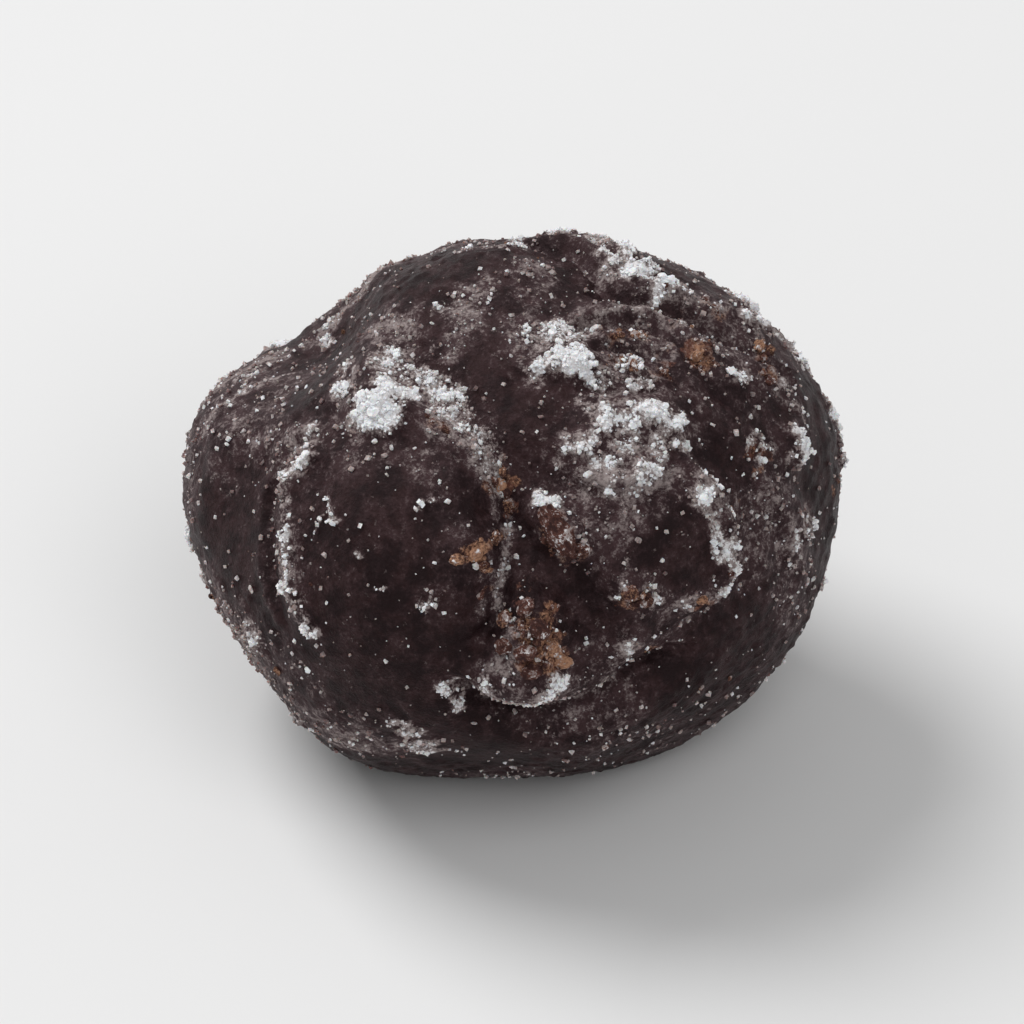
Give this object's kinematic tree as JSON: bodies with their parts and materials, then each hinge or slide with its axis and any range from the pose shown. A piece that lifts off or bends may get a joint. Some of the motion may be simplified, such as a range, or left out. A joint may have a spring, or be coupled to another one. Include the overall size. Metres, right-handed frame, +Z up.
{
  "type": "chocolate truffle",
  "caption": "Hand-rolled dark chocolate truffle with folds, lobes and a nib, dusted with sugar, on a small flat foot",
  "frame": {"origin": "the middle of the outside box at the level of the flat foot", "axes": "+Z up from the foot, -Y towards the front with the two domes and the long fold, +X to the right as seen from the front"},
  "size_m": [0.0302, 0.0288, 0.0236],
  "materials": {
    "dark_chocolate": "satin dark chocolate, dusted with sugar"
  },
  "bodies": {
    "root": {"truffle": "dark_chocolate"}
  },
  "joints": []
}
